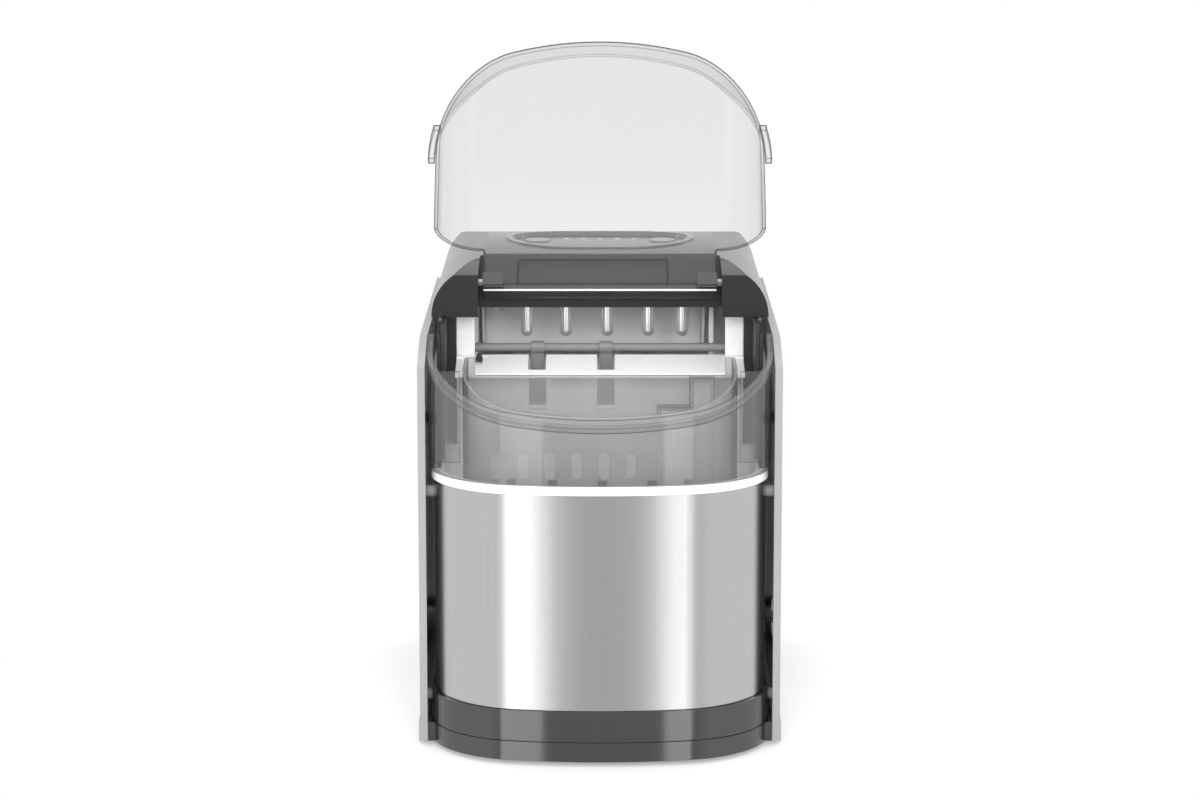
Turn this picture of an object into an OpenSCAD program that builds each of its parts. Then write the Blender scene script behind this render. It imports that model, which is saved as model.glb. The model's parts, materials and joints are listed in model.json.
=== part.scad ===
// Countertop ice maker with a clear lift-up lid, drawn with the lid open.
// X is right, Y is back, Z is up, in millimetres; the origin is on the floor under the middle.

/* [Body] */
// Overall depth, front bow to rear cover
body_d = 358; // [330:1:380]
// Half width of the front bow at the window
bow_w = 114; // [108:0.5:118]
// Radius of the front bow
bow_r = 300; // [250:5:400]
// Radius of the front corners
corner_r = 68; // [57, 64, 68]
// Outer face of the side panels, from the middle
side_x = 120.6; // [118:0.1:122]
// Height of the top of the steel panel
steel_top = 181.7; // [160:0.1:200]
// Height of the seam between the base bands
seam_z = 16; // [12:0.5:22]
// Height of the top of the upper base band
kick_top = 37.2; // [30:0.1:45]

/* [Top] */
// Crest height of the top housing
crest_z = 317; // [310:0.5:322]
// Radius of the top housing, front to back
crest_r = 680; // [500:10:900]
// Half width of the top housing
top_w = 114.2; // [110:0.1:116]
// Radius of the top housing's long edges
top_edge_r = 34; // [24, 34]
// Front face of the two shoulders
shoulder_y = -56; // [-60:0.5:-50]

/* [Lid] */
// Angle by which the lid stands open
lid_open = 130; // [90:1:132]
// Radius of the lid's top, front to back
lid_r = 226; // [200:1:260]
// Radius of the lid's long edges
lid_edge_r = 32; // [20:1:36]
// Wall thickness of the lid
lid_t = 2.5; // [2:0.1:3.5]
// Half width of the tongue between the shoulders
tongue_w = 80.5; // [76:0.1:81]

/* [Ice works] */
// Radius of each freezing finger
finger_r = 4.15; // [3.5:0.05:5]
// Height of the finger tips
finger_z = 256.6; // [254:0.1:260]
// Depth of the water tray
tray_h = 22; // [18:0.5:24]
// Louvre slots in each side panel
side_slots = 9; // [5:1:11]
// Number of condenser fins
fin_count = 18; // [10:1:22]
// Number of fan blades
blade_count = 7; // [5:1:9]

/* [Hidden] */
$fn = 96;
front_y = -body_d / 2;
rear_y = body_d / 2;
bow_cy = front_y + bow_r;
side_top = 272;
rim_y = -4;
rim_z = -30;
rim_r = 313;
lid_cy = -20;
lid_cz = 84.5;
hinge_y = -27;
hinge_z = 299;
tray_y = 44;
tray_z = 288;
push_y = -15;
push_z = 252;
crest_y = 52;
panel_y = 66;
fan_x = 58;
fan_z = 68;
front_fingers = [-50.7, -23.6, 4.9, 33.4, 57];
button_x = [-44, 44];

// Box between limits
module bx(x0, x1, y0, y1, z0, z1) {
    translate([x0, y0, z0]) cube([x1 - x0, y1 - y0, z1 - z0]);
}

// Cylinders along each axis
module xcyl(x0, x1, y, z, r) {
    translate([x0, y, z]) rotate([0, 90, 0]) cylinder(r = r, h = x1 - x0);
}
module ycyl(x, y0, y1, z, r) {
    translate([x, y1, z]) rotate([90, 0, 0]) cylinder(r = r, h = y1 - y0);
}
module zcyl(x, y, z0, z1, r) {
    translate([x, y, z0]) cylinder(r = r, h = z1 - z0);
}

// Outline in depth and height, drawn out along X
module yz(x0, x1) {
    translate([x0, 0, 0]) rotate([90, 0, 90]) linear_extrude(height = x1 - x0) children();
}

// Bowed plan outline of half width a, shrunk by d
module plan(a, d = 0, yr = rear_y) {
    cr = bow_r - corner_r;
    s = (a - corner_r) / cr;
    c = sqrt(1 - s * s);
    yc = bow_cy - cr * c;
    difference() {
        union() {
            intersection() {
                translate([0, bow_cy]) circle(r = bow_r - d);
                polygon([[0, bow_cy], [-(a - corner_r) * 1.6, bow_cy - cr * c * 1.6],
                    [(a - corner_r) * 1.6, bow_cy - cr * c * 1.6]]);
            }
            for (k = [-1, 1]) translate([k * (a - corner_r), yc]) circle(r = corner_r - d);
            translate([-a + d, yc]) square([2 * (a - d), rear_y + 90 - yc]);
        }
        translate([-200, yr - d]) square([400, 500]);
    }
}

// Wall that follows the plan outline, from y0 to y1
module bow_wall(a, d0, d1, z0, z1, y1) {
    translate([0, 0, z0]) linear_extrude(height = z1 - z0)
    difference() {
        plan(a, d0);
        plan(a, d1, rear_y + 40);
        translate([-200, y1]) square([400, 500]);
    }
}

// Everything inside radius r of the rim's arc
module rim_drum(r) {
    translate([-160, rim_y, rim_z]) rotate([0, 90, 0]) cylinder(r = r, h = 320, $fn = 288);
}

// Slot with round ends in a wall facing Y
module y_slot(x, y0, y1, z0, z1, r) {
    bx(x - r, x + r, y0, y1, z0 + r, z1 - r);
    ycyl(x, y0, y1, z0 + r, r);
    ycyl(x, y0, y1, z1 - r, r);
}

// ---------------------------------------------------------------- base and skin

module base_pan() {
    color("#151515")
    difference() {
        union() {
            translate([0, 0, 3]) linear_extrude(height = seam_z - 3.2) plan(bow_w);
            bx(-115.4, 115.4, -127, rear_y - 3, 3, seam_z - 0.2);
        }
        translate([0, 0, 6]) linear_extrude(height = seam_z) plan(bow_w, 3, rear_y - 4);
        for (x = [-86, 86], y = [-118, 146]) zcyl(x, y, 2, 7, 3.05);
        for (x = [22, 62], y = [60, 68, 76, 84]) bx(x, x + 34, y, y + 4, 2, 7);
    }
}

module rubber_feet() {
    color("#101010")
    for (x = [-86, 86], y = [-118, 146]) {
        zcyl(x, y, 0, 3, 10);
        zcyl(x, y, 0, 8, 3);
        zcyl(x, y, 6, 8, 4.5);
    }
}

module kick_band() {
    color("#1b1b1b")
    difference() {
        bow_wall(bow_w, 0, 3, seam_z, kick_top, -112);
        bow_wall(bow_w, -1, 0.6, seam_z - 1, seam_z + 0.8, -100);
    }
}

module steel_front_panel() {
    color("#c4c6c8")
    bow_wall(111.6, 0.8, 1.7, kick_top + 0.3, steel_top, -113);
}

module trim_ring() {
    color("#f2f2f2")
    bow_wall(112.3, -0.4, 5, steel_top + 0.3, steel_top + 6, -116);
}

module front_window() {
    color([0.62, 0.64, 0.66, 0.45])
    intersection() {
        union() {
            bow_wall(bow_w, 0, 3, steel_top + 6.3, 300, -83);
            for (k = [-1, 1]) bx(min(k * 93.5, k * 112), max(k * 93.5, k * 112), -100, -98,
                steel_top + 6.3, 250);
        }
        rim_drum(rim_r - 4.65);
    }
}

module window_bead() {
    color([0.8, 0.82, 0.84, 0.6])
    difference() {
        intersection() {
            bow_wall(bow_w, -1.2, 3, steel_top + 6.3, 300, -83);
            rim_drum(rim_r);
        }
        rim_drum(rim_r - 4.6);
    }
}

module window_clips() {
    color("#1a1a1a")
    for (a = [-11.3, -6, 0.3, 6.6, 11.3])
        translate([0, bow_cy, 0]) rotate([0, 0, a])
            bx(-3, 3, -bow_r + 5.3, -bow_r + 7.2, steel_top + 2, steel_top + 9);
}

// One side panel, seen as the right-hand one
module side_panel_blank() {
    difference() {
        yz(115.6, side_x)
        difference() {
            union() {
                intersection() {
                    translate([rim_y, rim_z]) circle(r = rim_r - 0.6);
                    translate([-127, seam_z + 0.2]) square([90, 300]);
                }
                translate([-40, seam_z + 0.2]) square([rear_y - 3 + 40, side_top - seam_z - 0.2]);
            }
            translate([-200, side_top]) square([500, 200]);
        }
        bx(115, side_x - 2.4, -121, rear_y - 9, seam_z + 6, 240);
        for (i = [0 : side_slots - 1]) bx(115, 125, 66, 146, 58 + i * 9, 62 + i * 9);
    }
    bx(115.6, side_x + 0.9, -127, rear_y - 3, 3, seam_z + 0.6);
    for (y = [-105, 158], z = [30, 170]) xcyl(109.9, side_x - 2.3, y, z, 4);
}

module side_panel_left() {
    color("#6a6c6e")
    mirror([1, 0, 0]) side_panel_blank();
}

module side_panel_right() {
    color("#6a6c6e")
    difference() {
        side_panel_blank();
        xcyl(100, 130, -60, 72, 13.5);
    }
}

module side_vent_grille() {
    color("#3a3b3c")
    difference() {
        bx(-side_x - 0.9, -side_x, 60, 152, 50, 148);
        for (i = [0 : side_slots - 1]) bx(-130, -115, 66, 146, 58 + i * 9, 62 + i * 9);
    }
}

module cabinet_shell() {
    color("#191919")
    difference() {
        union() {
            for (x = [-104, 104], z = [26, 150, 270]) ycyl(x, 160, rear_y - 6, z, 4);
            intersection() {
                translate([0, 0, 10]) linear_extrude(height = 290)
                difference() {
                    plan(111.6, 2, rear_y - 3);
                    plan(111.6, 4.5, rear_y + 40);
                }
                yz(-130, 130) polygon([[-110, seam_z + 0.2], [rear_y - 6, seam_z + 0.2],
                    [rear_y - 6, 279.3], [-56, 279.3], [-57, 277.4], [-82, 272.2],
                    [-82, steel_top], [-182, steel_top], [-182, kick_top + 0.4],
                    [-110, kick_top + 0.4]]);
            }
        }
        for (x = [-104, 104], z = [26, 150, 270]) ycyl(x, 155, 190, z, 1.8);
        for (k = [-1, 1], i = [0 : side_slots - 1])
            bx(min(k * 104, k * 112), max(k * 104, k * 112), 70, 142, 58 + i * 9, 62 + i * 9);
        xcyl(100, 130, -60, 72, 9);
    }
}

module inner_side_trims() {
    color("#161616")
    for (k = [-1, 1]) {
        bx(min(k * 104.2, k * 106.9), max(k * 104.2, k * 106.9), -82, -20.2, 188, 279.3);
        bx(min(k * 98.8, k * 104.4), max(k * 98.8, k * 104.4), -23.5, -20.2, 188, 279.3);
    }
}

// ---------------------------------------------------------------- ice chamber

module chamber_liner() {
    color("#f4f4f2")
    difference() {
        union() {
            difference() {
                translate([0, 0, 124]) linear_extrude(height = 61.5) plan(bow_w, 7.5, -12.5);
                translate([0, 0, 127]) linear_extrude(height = 80) plan(bow_w, 10, -14);
            }
            bx(-98.4, 98.4, -24, -20, 126, 279.3);
            yz(-98.4, 98.4) polygon([[-57, 238], [-57, 241], [-23, 248], [-23, 244.9]]);
            for (k = [-1, 1]) bx(k * 92.2 - 6.2, k * 92.2 + 6.2, -30, -23, 241, 248);
            ycyl(-83, -26, -23, 246, 6);
        }
        bx(-86, 86, -30, -10, 248, 290);
        bx(-49, -37, -50, -10, 210, 260);
        bx(-2, 10, -50, -10, 210, 260);
        ycyl(-83, -40, -10, 246, 2.6);
        for (x = [-78 : 13 : 78]) bx(x - 1.5, x + 1.5, -140, -70, 120, 130);
        for (y = [-54 : 8 : -38]) bx(-70, 70, y - 1.5, y + 1.5, 120, 130);
    }
}

module ice_full_sensor() {
    color("#0c0c0c")
    ycyl(-83, -26.6, -18.4, 246, 2.55);
}

module insulation_panel() {
    color("#e8e2c8")
    bx(-98, 98, -19.6, -6, 126, 208);
}

module water_reservoir() {
    color("#d8dcdc")
    difference() {
        bx(-90, 90, -148, -30, 60, 123.8);
        bx(-87.5, 87.5, -145.5, -32.5, 62.5, 130);
        xcyl(85, 95, -60, 72, 6.05);
    }
}

module reservoir_legs() {
    color("#2a2c2e")
    for (x = [-74, 74], y = [-128, -46]) {
        zcyl(x, y, 6, 60, 6);
        zcyl(x, y, 6, 9, 10);
    }
}

module drain_port() {
    color("#2a2a2a")
    difference() {
        union() {
            xcyl(90.2, 107.6, -60, 72, 8.6);
            xcyl(90.2, 93, -60, 72, 11);
        }
        xcyl(80, 120, -60, 72, 6.05);
    }
}

module drain_cap() {
    color("#202020")
    difference() {
        union() {
            xcyl(92.5, 110.2, -60, 72, 6);
            xcyl(110, 113.4, -60, 72, 11);
            bx(113, 119, -68, -52, 70, 74);
        }
        xcyl(94.5, 97.5, -60, 72, 7);
        xcyl(92, 106, -60, 72, 3.5);
    }
    color("#202020")
    difference() {
        xcyl(94.4, 97.6, -60, 72, 4.6);
        xcyl(92, 106, -60, 72, 3.5);
    }
}

module drain_seal() {
    color("#8c2f22")
    difference() {
        xcyl(94.7, 97.3, -60, 72, 5.95);
        xcyl(94, 98, -60, 72, 4.65);
    }
}

// ---------------------------------------------------------------- top

// Solid dome of the top housing, shrunk by d
module top_dome(d) {
    intersection() {
        xcyl(-130, 130, crest_y, crest_z - crest_r, crest_r - d);
        translate([0, rear_y - 3 - d, 0]) rotate([90, 0, 0])
        linear_extrude(height = rear_y - 3 - shoulder_y - 2 * d) {
            translate([-top_w + d, 270]) square([2 * (top_w - d), crest_z - 3 - top_edge_r - 270]);
            translate([-top_w + top_edge_r, 270])
                square([2 * (top_w - top_edge_r), crest_z + 20 - 270]);
            for (k = [-1, 1]) translate([k * (top_w - top_edge_r), crest_z - 3 - top_edge_r])
                circle(r = top_edge_r - d);
        }
    }
}

// Space for the tongue of the lid, grown by d
module tongue_notch(d) {
    yz(-82.5 - d, 82.5 + d) polygon([[-70, 260], [-13 + d, 260], [-13 + d, 297.2 - d * 0.4],
        [3.6 + d, 320 - d * 0.4], [4.4 + d, 330], [-70, 330]]);
}

// Round-ended outline of the control panel
module panel_outline(w, d) {
    translate([-w + d, panel_y - d]) square([2 * (w - d), 2 * d]);
    for (k = [-1, 1]) translate([k * (w - d), panel_y]) circle(r = d);
}

// Layer between two radii under the crest
module crest_layer(r0, r1) {
    difference() {
        intersection() {
            translate([0, 0, 290]) linear_extrude(height = 40) children();
            xcyl(-100, 100, crest_y, crest_z - crest_r, crest_r + r1);
        }
        xcyl(-101, 101, crest_y, crest_z - crest_r, crest_r + r0);
    }
}

module top_housing() {
    color("#4a4b4d")
    difference() {
        intersection() {
            top_dome(0);
            bx(-130, 130, -80, 200, 279.6, 330);
        }
        difference() {
            intersection() {
                top_dome(2.6);
                bx(-130, 130, -80, 200, 260, 330);
            }
            tongue_notch(2.6);
        }
        tongue_notch(0);
        translate([0, 0, 290]) linear_extrude(height = 40) panel_outline(66.2, 47.7);
        xcyl(-86, 86, hinge_y, hinge_z, 2.55);
    }
}

module panel_bezel() {
    color("#7b7d80")
    crest_layer(-4, 1.1)
    difference() {
        panel_outline(66, 47.5);
        panel_outline(62, 43.5);
    }
    color("#7b7d80")
    crest_layer(-4, -0.4)
    difference() {
        panel_outline(61.9, 43.4);
        panel_outline(60.2, 41.7);
    }
}

module panel_plate() {
    color("#2c2d2f")
    crest_layer(-4, -2)
    difference() {
        panel_outline(60, 41.5);
        for (x = button_x) translate([x, panel_y]) circle(r = 9.3);
        for (i = [-2 : 2]) translate([i * 12, panel_y + 10]) circle(r = 2.1);
    }
}

module indicator_lights() {
    color("#b9d3df")
    for (i = [-2 : 2]) zcyl(i * 12, panel_y + 10, 302.4, 314.9, 2);
}

module button(x) {
    zcyl(x, panel_y, 311, 315.8, 9);
    zcyl(x, panel_y, 310, 312, 10.5);
    zcyl(x, panel_y, 304.6, 310.2, 2.5);
}

module power_button() {
    color("#9a9c9f")
    button(button_x[0]);
}

module select_button() {
    color("#9a9c9f")
    button(button_x[1]);
}

module control_board() {
    color("#1f5a36")
    bx(-64, 64, 38, 98, 299.2, 300.8);
    color("#202020") {
        for (x = button_x) bx(x - 4, x + 4, panel_y - 4, panel_y + 4, 300.8, 303);
        bx(-20, 0, 44, 60, 300.8, 304);
        bx(14, 34, 44, 56, 300.8, 306);
        for (i = [-2 : 2]) bx(i * 12 - 3, i * 12 + 3, 73, 79, 300.8, 302.4);
    }
}

// ---------------------------------------------------------------- lid

// Solid of the closed lid's top, shrunk by d
module lid_drum(d) {
    w = bow_w - 0.2;
    translate([0, lid_cy, lid_cz]) rotate([0, 90, 0])
    rotate_extrude($fn = 288) {
        translate([0, -w + d]) square([lid_r - lid_edge_r, 2 * (w - d)]);
        translate([0, -w + lid_edge_r]) square([lid_r - d, 2 * (w - lid_edge_r)]);
        for (k = [-1, 1]) intersection() {
            translate([lid_r - lid_edge_r, k * (w - lid_edge_r)]) circle(r = lid_edge_r - d);
            translate([0, -150]) square([300, 300]);
        }
    }
}

// Solid outline of the closed lid, shrunk by d
module lid_solid(d) {
    intersection() {
        translate([0, 0, 200]) linear_extrude(height = 130) plan(bow_w - 0.2, d, -20 + 2 * d);
        lid_drum(d);
    }
}

// Turns a closed piece of the lid to its open place
module opened() {
    translate([0, hinge_y, hinge_z]) rotate([-lid_open, 0, 0])
        translate([0, -hinge_y, -hinge_z]) children();
}

module lid_shell() {
    color([0.85, 0.87, 0.9, 0.3])
    opened()
    difference() {
        lid_solid(0);
        difference() {
            lid_solid(lid_t);
            bx(-tongue_w, tongue_w, -22.5, 0, 200, 320);
        }
        rim_drum(rim_r + 0.4);
        for (k = [-1, 1]) bx(min(k * tongue_w, k * 130), max(k * tongue_w, k * 130),
            shoulder_y - 1.6, 10, 200, 330);
        bx(-110, 110, -31, 8, 210, 300);
    }
}

module lid_hinge_bar() {
    color([0.35, 0.36, 0.38, 0.8])
    opened()
    difference() {
        union() {
            bx(-tongue_w + 0.3, tongue_w - 0.3, -26.6, -22.6, 302, 307.3);
            for (k = [-1, 1]) bx(k * 73.2 - 7, k * 73.2 + 7, -32.5, -22.6, 294.5, 305);
        }
        xcyl(-90, 90, hinge_y, hinge_z, 2.52);
    }
}

module lid_hinge_rod() {
    color("#9fa2a5")
    for (k = [-1, 1]) xcyl(k * 75.9 - 9, k * 75.9 + 9, hinge_y, hinge_z, 2.5);
}

module lid_grip_tabs() {
    color([0.8, 0.82, 0.85, 0.4])
    opened()
    difference() {
        intersection() {
            bow_wall(bow_w - 0.2, -4.6, -0.05, 240, 300, -108);
            bx(-130, 130, -130, -100, 240, 300);
            rim_drum(rim_r + 9);
        }
        rim_drum(rim_r + 3);
    }
}

module lid_label_frame() {
    color([0.5, 0.52, 0.55, 0.7])
    opened()
    difference() {
        intersection() {
            xcyl(-57, 47, lid_cy, lid_cz, lid_r - lid_t - 0.05);
            bx(-57, 47, -50, -29, 250, 330);
        }
        xcyl(-60, 50, lid_cy, lid_cz, lid_r - lid_t - 0.45);
        bx(-55.8, 45.8, -48.8, -30.2, 250, 330);
    }
}

// ---------------------------------------------------------------- basket

module ice_basket() {
    color([0.45, 0.47, 0.5, 0.6])
    difference() {
        union() {
            difference() {
                intersection() {
                    translate([0, 0, 127.4]) linear_extrude(height = 125)
                        plan(bow_w, 22.5, -35.5);
                    rim_drum(300);
                }
                translate([0, 0, 129.6]) linear_extrude(height = 140) plan(bow_w, 24.5, -35.5);
                bx(-85, 85, -62, -50, 240.3, 260);
            }
            bx(39, 77, -72, -58, 150, 220);
            bx(61, 77, -72, -58, 150, 240.3);
        }
        bx(41, 59, -70, -50, 152, 218);
        bx(63, 75, -70, -50, 152, 238);
        bx(58, 64, -70, -50, 152, 218);
        for (i = [0 : 5]) y_slot(-71 + i * 18.4, -75, -50, 168, 187, 3.75, $fn = 24);
        for (y = [-136 : 14 : -80], x = [-60 : 20 : 60]) zcyl(x, y, 120, 135, 3, $fn = 20);
    }
}

// ---------------------------------------------------------------- ice works

module ice_module_housing() {
    color("#dfe0df")
    difference() {
        union() {
            difference() {
                bx(-100, 100, -19.6, 114, 210, 279.2);
                bx(-97.5, 97.5, -25, 111.5, 212.5, 290);
            }
            bx(-88.6, -85.4, 32, 56, 212, 294);
            bx(76.4, 79.6, 32, 56, 212, 294);
            for (k = [-1, 1]) bx(k * 95 - 2.7, k * 95 + 2.7, -19.6, -9.5, 212, 258);
        }
        xcyl(-95, 95, tray_y, tray_z, 3.05);
        xcyl(-101, 98, push_y, push_z, 3.05);
        bx(-60, 60, 50, 54, 205, 215);
    }
    color("#dfe0df")
    for (x = [-64, 40]) bx(x, x + 14, 94, 111.6, 212.4, 234);
}

module evaporator_plate() {
    color("#c9cbcd")
    difference() {
        bx(-64, 70, -2, 39, 284, 289.6);
        for (x = front_fingers) zcyl(x, 5, 280, 295, finger_r + 0.02);
    }
    color("#c9cbcd")
    for (x = [-63, 45]) bx(x, x + 3, 12, 25, 289.5, 308);
}

module finger(x, y) {
    zcyl(x, y, finger_z + finger_r, 291, finger_r);
    translate([x, y, finger_z + finger_r]) sphere(r = finger_r);
}

module evaporator_fingers() {
    color("#e6e7e8")
    for (x = front_fingers) finger(x, 5);
}

module evaporator_tube() {
    color("#b87345")
    union() {
        xcyl(-58, 52, 5, 296.4, 4.9);
        xcyl(-58, 52, 32, 296.4, 4.9);
        translate([52, 18.5, 296.4]) rotate([0, 0, -90])
            rotate_extrude(angle = 180) translate([13.5, 0]) circle(r = 4.9);
    }
}

module water_tray() {
    color("#8f9193")
    difference() {
        union() {
            difference() {
                bx(-83.5, 74, tray_y + tray_h, tray_y + 44, tray_z - 52, tray_z);
                bx(-81.5, 72, tray_y, tray_y + 42, tray_z - 50, tray_z - 2);
            }
            for (x = [-83.5, 72]) yz(x, x + 2) polygon([[tray_y - 6, tray_z - 6],
                [tray_y - 6, tray_z + 5], [tray_y + 3, tray_z + 6], [tray_y + 44, tray_z],
                [tray_y + 44, tray_z - 52], [tray_y + tray_h, tray_z - 52]]);
            xcyl(-90, -82, tray_y, tray_z, 3);
            xcyl(73, 83, tray_y, tray_z, 3);
        }
        for (x = [-83.5, 69]) difference() {
            bx(x - 0.1, x + 5.1, tray_y + 20, tray_y + 46, tray_z - 52.1, tray_z - 47);
            ycyl(x < 0 ? x + 5 : x, tray_y + 19, tray_y + 47, tray_z - 47, 5);
        }
    }
}

module tray_motor() {
    color("#a9abad")
    difference() {
        union() {
            bx(80, 92, 28, 62, 284, 304);
            xcyl(84, 93, 52, 293, 8);
        }
        xcyl(79, 84.5, tray_y, tray_z, 3.3);
    }
}

module ice_pusher() {
    color("#eceded")
    union() {
        xcyl(-102.4, 96.5, push_y, push_z, 3);
        for (x = [-47.5, -0.5]) {
            xcyl(x, x + 9, push_y, push_z, 4.5);
            bx(x, x + 9, push_y - 2, push_y + 2, push_z - 16, push_z);
        }
    }
}

module pusher_motor() {
    color("#a9abad")
    difference() {
        bx(-105, -100.3, -19, 10, 238, 262);
        xcyl(-103, -100, push_y, push_z, 3.3);
    }
}

module fill_hose() {
    color("#d9dddd")
    union() {
        ycyl(-98, 6.2, 122, 64, 4);
        zcyl(-98, 122, 64, 300, 4);
        ycyl(-98, 16, 122, 300, 4);
        xcyl(-98, -72, 16, 300, 4);
        zcyl(-72, 16, 273, 300, 4);
        for (p = [[-98, 122, 64], [-98, 122, 300], [-98, 16, 300], [-72, 16, 300]])
            translate(p) sphere(r = 4);
    }
}

module water_pump() {
    color("#3c3e40")
    union() {
        ycyl(-92, -28, 5.8, 64, 13);
        bx(-98, -86, -24, -12, 12, 56);
        bx(-103, -79, -28, -8, 6, 13);
    }
}

// ---------------------------------------------------------------- cooling

module compressor() {
    color("#1c1d1f")
    union() {
        translate([-40, 112, 14]) rotate_extrude()
            polygon([[0, 0], [44, 0], [48, 5], [48, 58], [50, 59], [50, 63], [48, 64],
                [48, 96], [42, 106], [28, 112], [0, 114]]);
        bx(-92, 12, 90, 134, 12, 15);
        zcyl(-40, 112, 126, 134, 6);
        bx(-2, 16, 100, 124, 60, 84);
    }
}

module compressor_mounts() {
    color("#0e0e0e")
    for (x = [-86, 6], y = [95, 129]) zcyl(x, y, 6, 12, 4.5);
}

module fan_shroud() {
    color("#25272a")
    difference() {
        bx(16, 103, 128, 140, 6, 124);
        ycyl(fan_x, 120, 150, fan_z, 40);
    }
    color("#25272a") 
    difference() {
        union() {
            bx(fan_x - 41, fan_x + 41, 137, 140, fan_z - 2, fan_z + 2);
            bx(fan_x - 2, fan_x + 2, 137, 140, fan_z - 41, fan_z + 41);
        }
        ycyl(fan_x, 130, 150, fan_z, 12.2);
    }
}

module fan_motor() {
    color("#303336")
    union() {
        ycyl(fan_x, 137, 158, fan_z, 12);
        ycyl(fan_x, 128, 138, fan_z, 2);
    }
}

module condenser_fan() {
    color("#3f4347")
    difference() {
        union() {
            ycyl(fan_x, 121, 134.5, fan_z, 11);
            for (i = [0 : blade_count - 1])
                translate([fan_x, 127.5, fan_z]) rotate([0, i * 360 / blade_count, 0])
                    translate([0, 0, 9]) rotate([0, 0, 32]) translate([-9, -0.8, 0])
                        cube([18, 1.6, 28.5]);
        }
        ycyl(fan_x, 126, 136, fan_z, 2.05);
    }
}

module condenser_fins() {
    color("#b9bbbd")
    difference() {
        for (i = [0 : fin_count - 1])
            bx(22, 94, 92, 118, 27 + i * 5.2, 27.9 + i * 5.2);
        for (x = [34, 58, 82], y = [98, 111]) zcyl(x, y, 5, 140, 3.22);
    }
}

module condenser_tubes() {
    color("#b87345")
    union() {
        for (x = [34, 58, 82], y = [98, 111]) zcyl(x, y, 23, 124, 3.2);
        for (x = [34, 82]) translate([x, 104.5, 124]) rotate([90, 0, 90])
            rotate_extrude(angle = 180) translate([6.5, 0]) circle(r = 3.2);
        translate([58, 104.5, 124]) rotate([90, 0, 90])
            rotate_extrude(angle = 180) translate([6.5, 0]) circle(r = 3.2);
        for (y = [98, 111]) translate([46, y, 23]) rotate([-90, 0, 0])
            rotate_extrude(angle = 180) translate([12, 0]) circle(r = 3.2);
    }
}

module filter_drier() {
    color("#b87345")
    union() {
        zcyl(-14, 40, 60, 120, 8);
        zcyl(-14, 40, 40, 150, 2.5);
        translate([-14, 40, 60]) sphere(r = 8);
        translate([-14, 40, 120]) sphere(r = 8);
    }
}

module suction_tube() {
    color("#b87345")
    union() {
        zcyl(-10, 122, 125.8, 200, 3.5);
        translate([-10, 122, 200]) sphere(r = 3.5);
        ycyl(-10, 60, 122, 200, 3.5);
    }
}

module rear_cover() {
    color("#1a1a1a")
    difference() {
        bx(-112.5, 112.5, rear_y - 5.6, rear_y - 3, seam_z + 0.2, 279.3);
        for (i = [0 : 11]) bx(14, 100, 170, 182, 28 + i * 8.4, 32 + i * 8.4);
        for (i = [0 : 5]) bx(-96, -30, 170, 182, 120 + i * 8.4, 124 + i * 8.4);
        bx(-98, -64, 165, 182, 36, 62);
        for (x = [-104, 104], z = [26, 150, 270]) ycyl(x, 160, 190, z, 1.8);
    }
}

module rear_screws() {
    color("#8c8e90")
    for (x = [-104, 104], z = [26, 150, 270]) {
        ycyl(x, rear_y - 12, rear_y - 2.9, z, 1.75);
        difference() {
            ycyl(x, rear_y - 3, rear_y - 1, z, 3.4);
            bx(x - 2.4, x + 2.4, rear_y - 1.7, rear_y, z - 0.4, z + 0.4);
            bx(x - 0.4, x + 0.4, rear_y - 1.7, rear_y, z - 2.4, z + 2.4);
        }
    }
}

module power_inlet() {
    color("#0f0f10")
    difference() {
        union() {
            bx(-97.5, -64.5, 158, rear_y - 2.8, 36.5, 61.5);
            bx(-101, -61, rear_y - 3, rear_y + 1.2, 33, 65);
        }
        bx(-94, -68, 162, rear_y + 2, 40, 58);
    }
    color("#0f0f10")
    for (x = [-88, -81, -74]) bx(x - 2, x + 2, 161, 174, 48 + (x == -81 ? 3 : -2) - 1,
        49 + (x == -81 ? 3 : -2));
}

base_pan();
rubber_feet();
kick_band();
steel_front_panel();
trim_ring();
front_window();
window_bead();
window_clips();
side_panel_left();
side_panel_right();
side_vent_grille();
cabinet_shell();
inner_side_trims();
chamber_liner();
insulation_panel();
top_housing();
panel_bezel();
panel_plate();
indicator_lights();
control_board();
rear_cover();
rear_screws();
power_inlet();
water_reservoir();
reservoir_legs();
water_pump();
fill_hose();
ice_full_sensor();
ice_module_housing();
evaporator_plate();
evaporator_fingers();
evaporator_tube();
tray_motor();
pusher_motor();
compressor();
compressor_mounts();
condenser_fins();
condenser_tubes();
filter_drier();
suction_tube();
fan_shroud();
fan_motor();
drain_port();
lid_shell();
lid_hinge_bar();
lid_hinge_rod();
lid_grip_tabs();
lid_label_frame();
ice_basket();
water_tray();
ice_pusher();
power_button();
select_button();
condenser_fan();
drain_cap();
drain_seal();
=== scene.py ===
import json
import math

import bpy
from mathutils import Matrix, Vector


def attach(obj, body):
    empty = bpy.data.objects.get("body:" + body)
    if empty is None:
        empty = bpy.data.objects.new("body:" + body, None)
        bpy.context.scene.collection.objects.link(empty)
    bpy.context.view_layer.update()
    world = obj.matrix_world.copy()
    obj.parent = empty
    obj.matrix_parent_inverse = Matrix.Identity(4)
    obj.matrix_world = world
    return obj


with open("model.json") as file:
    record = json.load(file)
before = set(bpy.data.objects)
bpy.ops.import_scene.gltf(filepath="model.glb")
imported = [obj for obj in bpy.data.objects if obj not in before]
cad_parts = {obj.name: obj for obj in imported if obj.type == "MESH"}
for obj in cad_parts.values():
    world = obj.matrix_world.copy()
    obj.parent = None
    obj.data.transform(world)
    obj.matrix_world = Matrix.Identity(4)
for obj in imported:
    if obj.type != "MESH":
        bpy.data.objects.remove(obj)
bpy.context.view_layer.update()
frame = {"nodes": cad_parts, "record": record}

MM = 0.001
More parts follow.
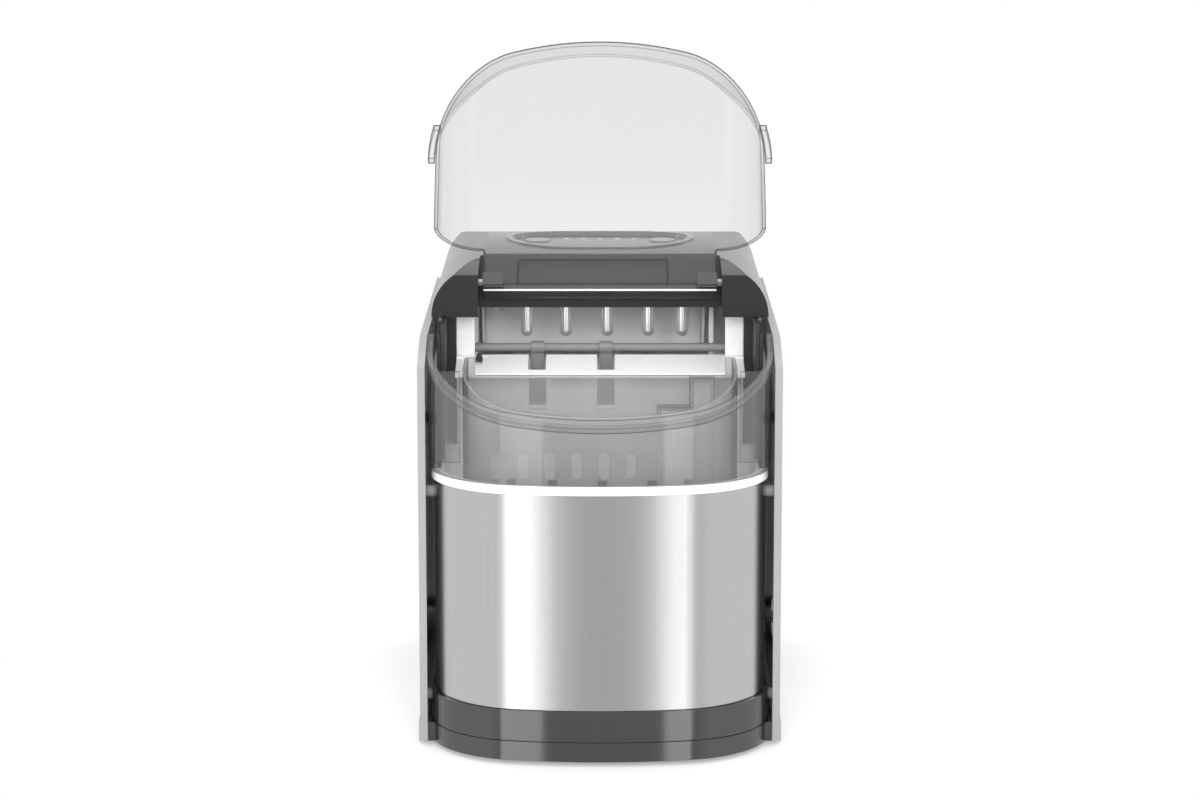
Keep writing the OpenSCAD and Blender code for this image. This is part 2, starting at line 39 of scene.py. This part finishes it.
NODES = frame["nodes"]

# ------------------------------------------------------------------ camera
IMAGE_W = 1200
SENSOR_MM = 36.0
FOCAL_PX = 3593.0        # focal length in pixels of a 1200 wide picture
CAM_DISTANCE = 2.5
CAM_TILT = math.radians(10.5)
CAM_TARGET = Vector((0, 0, 0.2122))


def add_camera():
    """Level front view from slightly above, as in the photo."""
    data = bpy.data.cameras.new("camera")
    data.sensor_width = SENSOR_MM
    data.lens = SENSOR_MM * FOCAL_PX / IMAGE_W
    cam = bpy.data.objects.new("camera", data)
    back = Vector((0, -math.cos(CAM_TILT), math.sin(CAM_TILT)))
    cam.location = CAM_TARGET + back * CAM_DISTANCE
    cam.rotation_euler = (math.radians(90) - CAM_TILT, 0, 0)
    bpy.context.scene.collection.objects.link(cam)
    bpy.context.scene.camera = cam


# ------------------------------------------------------------------ light
PAPER_GLOW = 1.0      # white seen by the camera
FILL_LEVEL = 0.85     # even light on matt surfaces
ROOM_FRONT = 0.5      # what glossy surfaces mirror straight ahead
ROOM_SIDE = 0.8       # and towards the sides and the back
ROOM_FRONT_COS = 0.88
ROOM_SIDE_COS = 0.6


FLOOR_RADIUS = 1.6
FLOOR_DROP = 0.0004   # keeps the sheet just under the feet
FLOOR_WHITE = 0.88, 0.92
FADE_START = 0.16     # distance from the middle where the paper starts to glow
FADE_END = 0.45       # and where it matches the background
FADE_LEAST = 0.3      # share of glow under the machine

# name, place, aim, width and height, watts
LIGHTS = (
    ("camera_fill", (0, -2.3, 0.9), (0, 0, 0.25), (0.9, 0.7), 34),
    ("strip_left", (-0.95, -2.1, 0), (0, 0, 0), (0.75, 3.4), 12),
    ("strip_right", (0.86, -2.1, 0), (0, 0, 0), (0.42, 3.4), 7),
    ("front_top", (0, -2.2, 2.4), (0, 0, 0.25), (2.4, 1.0), 12),
    ("top", (0, 0.3, 2.4), (0, 0, 0.2), (2.6, 2.6), 20),
    ("back_left", (-1.8, 1.2, 1.2), (0, 0, 0.3), (0.8, 1.8), 8),
    ("back_right", (1.8, 1.2, 1.2), (0, 0, 0.3), (0.8, 1.8), 8),
)
NOT_MIRRORED = ("camera_fill",)


def add_light(name, place, aim, size, power):
    data = bpy.data.lights.new(name, "AREA")
    data.shape = "RECTANGLE"
    data.size, data.size_y = size
    data.energy = power
    lamp = bpy.data.objects.new(name, data)
    lamp.location = place
    look = Vector(aim) - Vector(place)
    lamp.rotation_euler = look.to_track_quat("-Z", "Y").to_euler()
    lamp.visible_glossy = name not in NOT_MIRRORED
    bpy.context.scene.collection.objects.link(lamp)


def add_world():
    """White paper to the camera, soft even light, darker sides in reflections."""
    world = bpy.data.worlds.new("studio")
    bpy.context.scene.world = world
    world.use_nodes = True
    nodes, links = world.node_tree.nodes, world.node_tree.links
    nodes.clear()

    def glow(level):
        node = nodes.new("ShaderNodeBackground")
        node.inputs["Color"].default_value = (1, 1, 1, 1)
        node.inputs["Strength"].default_value = level
        return node

    room, even, paper = glow(1.0), glow(FILL_LEVEL), glow(PAPER_GLOW)
    way = nodes.new("ShaderNodeTexCoord")
    split = nodes.new("ShaderNodeSeparateXYZ")
    links.new(way.outputs["Generated"], split.inputs[0])
    side = nodes.new("ShaderNodeMapRange")
    side.interpolation_type = "SMOOTHSTEP"
    side.inputs["From Min"].default_value = -ROOM_FRONT_COS
    side.inputs["From Max"].default_value = -ROOM_SIDE_COS
    side.inputs["To Min"].default_value = ROOM_FRONT
    side.inputs["To Max"].default_value = ROOM_SIDE
    links.new(split.outputs["Y"], side.inputs["Value"])
    links.new(side.outputs[0], room.inputs["Strength"])
    path = nodes.new("ShaderNodeLightPath")
    soft = nodes.new("ShaderNodeMixShader")
    links.new(path.outputs["Is Diffuse Ray"], soft.inputs[0])
    links.new(room.outputs[0], soft.inputs[1])
    links.new(even.outputs[0], soft.inputs[2])
    seen = nodes.new("ShaderNodeMixShader")
    links.new(path.outputs["Is Camera Ray"], seen.inputs[0])
    links.new(soft.outputs[0], seen.inputs[1])
    links.new(paper.outputs[0], seen.inputs[2])
    out = nodes.new("ShaderNodeOutputWorld")
    links.new(seen.outputs[0], out.inputs["Surface"])


def add_floor():
    """Round sheet of white paper that fades into the lit background."""
    bpy.ops.mesh.primitive_circle_add(vertices=96, radius=FLOOR_RADIUS, fill_type="NGON",
                                      location=(0, 0, -FLOOR_DROP))
    floor = bpy.context.object
    floor.name = "floor"
    floor.visible_glossy = False
    s = Shader("floor_paper")
    paper = s.add("ShaderNodeBsdfDiffuse")
    dark, light = (grey(level) for level in FLOOR_WHITE)
    s.links.new(s.tint(s.noise(40), dark, light), paper.inputs["Color"])
    glow = s.add("ShaderNodeEmission")
    glow.inputs["Strength"].default_value = PAPER_GLOW
    far = s.add("ShaderNodeVectorMath", operation="LENGTH")
    s.links.new(s.place, far.inputs[0])
    fade = s.add("ShaderNodeMapRange", interpolation_type="SMOOTHSTEP")
    fade.inputs["From Min"].default_value = FADE_START
    fade.inputs["From Max"].default_value = FADE_END
    fade.inputs["To Min"].default_value = FADE_LEAST
    s.links.new(far.outputs["Value"], fade.inputs["Value"])
    seen = s.add("ShaderNodeLightPath")
    gate = s.add("ShaderNodeMath", operation="MULTIPLY")
    s.links.new(fade.outputs[0], gate.inputs[0])
    s.links.new(seen.outputs["Is Camera Ray"], gate.inputs[1])
    mix = s.blend(gate.outputs[0], paper.outputs[0], glow.outputs[0])
    floor.data.materials.append(s.surface(mix))


# ------------------------------------------------------------------ materials
BEVEL_RADIUS = 0.0006
SHARP_COS = 0.995     # edge_mask: normals closer than this count as one flat face
SHARP_FADE = 0.2      # and the mask is full this much below it
COAT_ROUGH = 0.06
CLOUD_SCALE = 9
EDGE_POWER = 4.0      # clear plastic: how fast the tint and shine grow at a slant
EDGE_SHINE = 0.35
FACE_SHINE = 0.035
RIM_POWER = 9.0       # and how thin the dark outline is, painted shade for the refraction at the rim
# grey level of that painted rim shade
RIM_PAINTED_SHADE = 0.02


def grey(value):
    return value if isinstance(value, tuple) else (value, value, value)


class Shader:
    """Small helper that builds one node material."""

    def __init__(self, name):
        self.mat = bpy.data.materials.new(name)
        self.mat.use_nodes = True
        self.nodes = self.mat.node_tree.nodes
        self.links = self.mat.node_tree.links
        self.nodes.clear()
        self.out = self.add("ShaderNodeOutputMaterial")
        self.place = self.add("ShaderNodeTexCoord").outputs["Object"]

    def add(self, kind, **values):
        node = self.nodes.new(kind)
        for key, value in values.items():
            setattr(node, key, value)
        return node

    def noise(self, scale, stretch=(1, 1, 1), detail=4.0):
        mapping = self.add("ShaderNodeMapping")
        mapping.inputs["Scale"].default_value = stretch
        self.links.new(self.place, mapping.inputs["Vector"])
        tex = self.add("ShaderNodeTexNoise")
        tex.inputs["Scale"].default_value = scale
        tex.inputs["Detail"].default_value = detail
        self.links.new(mapping.outputs[0], tex.inputs["Vector"])
        return tex.outputs["Fac"]

    def spread(self, fac, low, high):
        node = self.add("ShaderNodeMapRange")
        node.inputs["To Min"].default_value = low
        node.inputs["To Max"].default_value = high
        self.links.new(fac, node.inputs["Value"])
        return node.outputs[0]

    def power(self, value, exponent):
        node = self.add("ShaderNodeMath", operation="POWER")
        node.inputs[1].default_value = exponent
        self.links.new(value, node.inputs[0])
        return node.outputs[0]

    def blend(self, fac, first, second):
        node = self.add("ShaderNodeMixShader")
        self.links.new(fac, node.inputs[0])
        self.links.new(first, node.inputs[1])
        self.links.new(second, node.inputs[2])
        return node.outputs[0]

    def darken(self, fac, color, level):
        """Takes a colour towards one grey level as the factor grows."""
        node = self.add("ShaderNodeMix", data_type="RGBA")
        self.links.new(fac, node.inputs["Factor"])
        self.links.new(color, node.inputs["A"])
        node.inputs["B"].default_value = (level, level, level, 1)
        return node.outputs["Result"]

    def tint(self, fac, dark, light):
        ramp = self.add("ShaderNodeMix", data_type="RGBA")
        ramp.inputs["A"].default_value = (*dark, 1)
        ramp.inputs["B"].default_value = (*light, 1)
        self.links.new(fac, ramp.inputs["Factor"])
        return ramp.outputs["Result"]

    def bump(self, height, strength, distance=0.0004, round_edge=BEVEL_RADIUS):
        bevel = self.add("ShaderNodeBevel", samples=4)
        bevel.inputs["Radius"].default_value = round_edge
        node = self.add("ShaderNodeBump")
        node.inputs["Strength"].default_value = strength
        node.inputs["Distance"].default_value = distance
        self.links.new(height, node.inputs["Height"])
        self.links.new(bevel.outputs[0], node.inputs["Normal"])
        return node.outputs[0]

    def edge_mask(self, reach):
        """1 along sharp edges, 0 on open faces."""
        bevel = self.add("ShaderNodeBevel", samples=6)
        bevel.inputs["Radius"].default_value = reach
        geometry = self.add("ShaderNodeNewGeometry")
        same = self.add("ShaderNodeVectorMath", operation="DOT_PRODUCT")
        self.links.new(bevel.outputs[0], same.inputs[0])
        self.links.new(geometry.outputs["Normal"], same.inputs[1])
        mask = self.add("ShaderNodeMapRange")
        mask.inputs["From Min"].default_value = SHARP_COS
        mask.inputs["From Max"].default_value = SHARP_COS - SHARP_FADE
        self.links.new(same.outputs["Value"], mask.inputs["Value"])
        return mask.outputs[0]

    def surface(self, shader):
        self.links.new(shader, self.out.inputs["Surface"])
        return self.mat


def plain(name, color, rough, metallic=0.0, coat=0.0, grain=0.03, grain_scale=90,
          relief=0.05):
    """Opaque material with slight colour, roughness and surface variation."""
    s = Shader(name)
    body = s.add("ShaderNodeBsdfPrincipled")
    fine = s.noise(grain_scale)
    cloud = s.noise(CLOUD_SCALE, detail=2)
    base = grey(color)
    dark = tuple(c * (1 - grain) for c in base)
    light = tuple(min(1, c * (1 + grain)) for c in base)
    s.links.new(s.tint(cloud, dark, light), body.inputs["Base Color"])
    s.links.new(s.spread(fine, rough * 0.85, rough * 1.15), body.inputs["Roughness"])
    s.links.new(s.bump(fine, relief), body.inputs["Normal"])
    body.inputs["Metallic"].default_value = metallic
    body.inputs["Coat Weight"].default_value = coat
    body.inputs["Coat Roughness"].default_value = COAT_ROUGH
    return s.surface(body.outputs[0])


def brushed(name, color, rough, grain_axis_scale):
    """Brushed sheet steel with its grain along the axis with the small scale."""
    s = Shader(name)
    body = s.add("ShaderNodeBsdfPrincipled")
    lines = s.noise(420, grain_axis_scale, 6)
    cloud = s.noise(6, (1, 1, 0.3), 2)
    base = grey(color)
    s.links.new(s.tint(lines, tuple(c * 0.93 for c in base), base), body.inputs["Base Color"])
    s.links.new(s.spread(cloud, rough * 0.9, rough * 1.1), body.inputs["Roughness"])
    s.links.new(s.bump(lines, 0.12, 0.00005, 0.0004), body.inputs["Normal"])
    body.inputs["Metallic"].default_value = 1.0
    body.inputs["Anisotropic"].default_value = 0.35
    return s.surface(body.outputs[0])


def clear(name, face, edge, gloss, milky, milky_color, line, reach=0.0009):
    """See-through plastic: each skin tints what is behind it, more at a slant.

    face and edge are the tints head-on and at a slant, line the painted shade along
    sharp edges that stands in for their dark refraction, and reach its width;
    milky is the share of scattered light.
    """
    s = Shader(name)
    slant = s.add("ShaderNodeLayerWeight")
    slant.inputs["Blend"].default_value = 0.5
    facing = slant.outputs["Facing"]
    sloped = s.power(facing, EDGE_POWER)
    wave = s.noise(14, detail=2)
    through = s.add("ShaderNodeBsdfTransparent")
    tinted = s.tint(sloped, grey(face), grey(edge))
    # painted shade: thin dark outline where the skin turns edge-on, for the dark refraction at the
    # rim
    rim_shaded = s.darken(s.power(facing, RIM_POWER), tinted, RIM_PAINTED_SHADE)
    # painted shade: darkening along sharp edges, for the dark refraction there
    edge_shaded = s.darken(s.edge_mask(reach), rim_shaded, line * face)
    s.links.new(edge_shaded, through.inputs["Color"])
    skin = s.add("ShaderNodeBsdfPrincipled")
    skin.inputs["Base Color"].default_value = (*grey(milky_color), 1)
    skin.inputs["Roughness"].default_value = 0.5
    shine = s.add("ShaderNodeBsdfGlossy")
    shine.inputs["Roughness"].default_value = gloss
    s.links.new(s.bump(wave, 0.02), shine.inputs["Normal"])
    haze = s.spread(wave, milky * 0.85, milky * 1.15)
    milk = s.blend(haze, through.outputs[0], skin.outputs[0])
    sheen = s.spread(sloped, FACE_SHINE, EDGE_SHINE)
    return s.surface(s.blend(sheen, milk, shine.outputs[0]))


MATERIALS = {
    "black_gloss": lambda n: plain(n, 0.03, 0.2, coat=0.5, grain=0.1, relief=0.02),
    "base_gloss": lambda n: plain(n, 0.115, 0.1, metallic=0.85, coat=0.1, grain=0.06, relief=0.01),
    "black_matte": lambda n: plain(n, 0.035, 0.5, grain=0.1, grain_scale=900, relief=0.25),
    "grey_gloss": lambda n: plain(n, 0.015, 0.2, coat=0.3, grain=0.04, relief=0.02),
    "side_grey": lambda n: plain(n, 0.3, 0.3, coat=0.3, grain=0.05, relief=0.04),
    "rubber_black": lambda n: plain(n, 0.025, 0.75, grain=0.15, grain_scale=1200, relief=0.4),
    "stainless": lambda n: brushed(n, 0.66, 0.22, (1, 1, 0.015)),
    "white_plastic": lambda n: plain(n, 0.84, 0.32, coat=0.2, grain=0.02, relief=0.03),
    "smoke_clear": lambda n: clear(n, 0.93, 0.6, 0.05, 0.04, 0.8, 0.35, 0.0012),
    "bead_clear": lambda n: clear(n, 0.84, 0.4, 0.05, 0.05, 0.9, 0.12, 0.0014),
    "clear_lid": lambda n: clear(n, 0.9, 0.35, 0.3, 0.012, 0.9, 0.05, 0.0022),
    "smoke_dark": lambda n: clear(n, 0.5, 0.1, 0.1, 0.2, 0.12, 0.5),
    "basket_smoke": lambda n: clear(n, 0.86, 0.45, 0.12, 0.14, 0.75, 0.2, 0.0012),
    "tray_grey": lambda n: plain(n, 0.78, 0.4, grain=0.04, grain_scale=300, relief=0.08),
    "finger_chrome": lambda n: plain(n, 0.9, 0.16, metallic=0.75, grain=0.03, relief=0.02),
    "alu": lambda n: plain(n, 0.7, 0.38, metallic=1.0, grain=0.06, grain_scale=400),
    "copper": lambda n: plain(n, (0.75, 0.4, 0.24), 0.3, metallic=1.0, grain=0.12),
    "steel_zinc": lambda n: plain(n, 0.5, 0.35, metallic=1.0, grain=0.08, grain_scale=500),
    "black_paint": lambda n: plain(n, 0.03, 0.35, coat=0.4, grain=0.12, grain_scale=500,
                                   relief=0.2),
    "motor_steel": lambda n: plain(n, 0.55, 0.35, metallic=0.9, grain=0.05),
    "foam": lambda n: plain(n, (0.8, 0.74, 0.55), 0.9, grain=0.1, grain_scale=900, relief=0.7),
    "translucent_white": lambda n: clear(n, 0.8, 0.5, 0.2, 0.45, 0.8, 0.8),
    "board_green": lambda n: plain(n, (0.02, 0.16, 0.07), 0.35, grain=0.15, grain_scale=700),
    "light_pipe": lambda n: plain(n, (0.62, 0.72, 0.78), 0.25, grain=0.03),
    "button_grey": lambda n: plain(n, 0.32, 0.35, coat=0.2, grain=0.03),
    "bezel_grey": lambda n: plain(n, 0.2, 0.22, coat=0.5, grain=0.03),
    "seal_red": lambda n: plain(n, (0.45, 0.06, 0.04), 0.6, grain=0.06, grain_scale=600),
}


def dress_nodes():
    """Gives every CAD node the material of its slot, and returns the materials."""
    made = {}
    for part in frame["record"]["subparts"]:
        slot = part["material_slot"]
        if slot not in made:
            made[slot] = MATERIALS[slot](slot)
        node = NODES[part["node"]]
        for i in range(len(node.material_slots)):
            node.material_slots[i].material = made[slot]
    return made


# ------------------------------------------------------------------ lid edges, with painted shade and painted highlight beads
# The lid is modelled closed, in mm, and opened about its hinge.
HINGE = Vector((0, -27, 299))
LID_OPEN = math.radians(130)
TONGUE_W = 79.6
TONGUE_END = -21.3
LID_TOP = (-20, 84.5, 224.8)    # centre Y and Z and radius of the closed lid's top
SIDE_STEP, SIDE_STEPS = 4, 10   # length of tongue side that the bead follows
# radius of the dark bead painted as shade along the tongue sides
SIDE_SHADE_BEAD = 0.55
HEM_Z = 299.6
# radius of the white bead painted as a highlight on the hem
HEM_HIGHLIGHT_BEAD = 0.7


def lid_top_z(y):
    mid_y, mid_z, radius = LID_TOP
    return mid_z + math.sqrt(radius ** 2 - (y - mid_y) ** 2)


def opened(x, y, z):
    """Point of the closed lid, in mm, taken to its open place at rest."""
    turn = Matrix.Rotation(-LID_OPEN, 3, "X")
    return (turn @ (Vector((x, y, z)) - HINGE) + HINGE) * MM


def edge_bead(name, points, radius, material):
    """Round bead along a path of the closed lid."""
    path = bpy.data.curves.new(name, "CURVE")
    path.dimensions = "3D"
    path.bevel_depth = radius * MM
    path.bevel_resolution = 3
    path.use_fill_caps = True
    line = path.splines.new("POLY")
    line.points.add(len(points) - 1)
    for i, point in enumerate(points):
        line.points[i].co = (*opened(*point), 1)
    source = bpy.data.objects.new(name + "_path", path)
    bpy.context.scene.collection.objects.link(source)
    ready = source.evaluated_get(bpy.context.evaluated_depsgraph_get())
    mesh = bpy.data.meshes.new_from_object(ready)
    bpy.data.objects.remove(source)
    piece = bpy.data.objects.new(name, mesh)
    bpy.context.scene.collection.objects.link(piece)
    for face in mesh.polygons:
        face.use_smooth = True
    mesh.materials.clear()
    mesh.materials.append(material)
    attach(piece, "lid")


def add_lid_edges(made):
    """Beads on the hem of the hinge tongue, where the clear edge turns: a black bead along the
    tongue sides is painted shade for the dark refraction there, and a white bead along the hem is
    a painted highlight for the bright clear end.
    """
    steps = [TONGUE_END - SIDE_STEP * i for i in range(SIDE_STEPS)]
    left = [(-TONGUE_W, y, lid_top_z(y)) for y in reversed(steps)]
    right = [(TONGUE_W, y, lid_top_z(y)) for y in steps]
    hem = [(x, TONGUE_END, HEM_Z) for x in (-TONGUE_W, 0, TONGUE_W)]
    # painted shade: black bead along the tongue sides for the dark refraction of the clear edge
    edge_bead("tongue_side_painted_shade", left + right, SIDE_SHADE_BEAD, made["black_gloss"])
    # painted highlight: white bead along the hem for the bright clear end
    edge_bead("tongue_hem_painted_highlight", hem, HEM_HIGHLIGHT_BEAD, made["white_plastic"])


# ------------------------------------------------------------------ build
made = dress_nodes()
add_lid_edges(made)
add_camera()
add_world()
add_floor()
bpy.context.scene.view_settings.view_transform = "Standard"
for row in LIGHTS:
    add_light(*row)
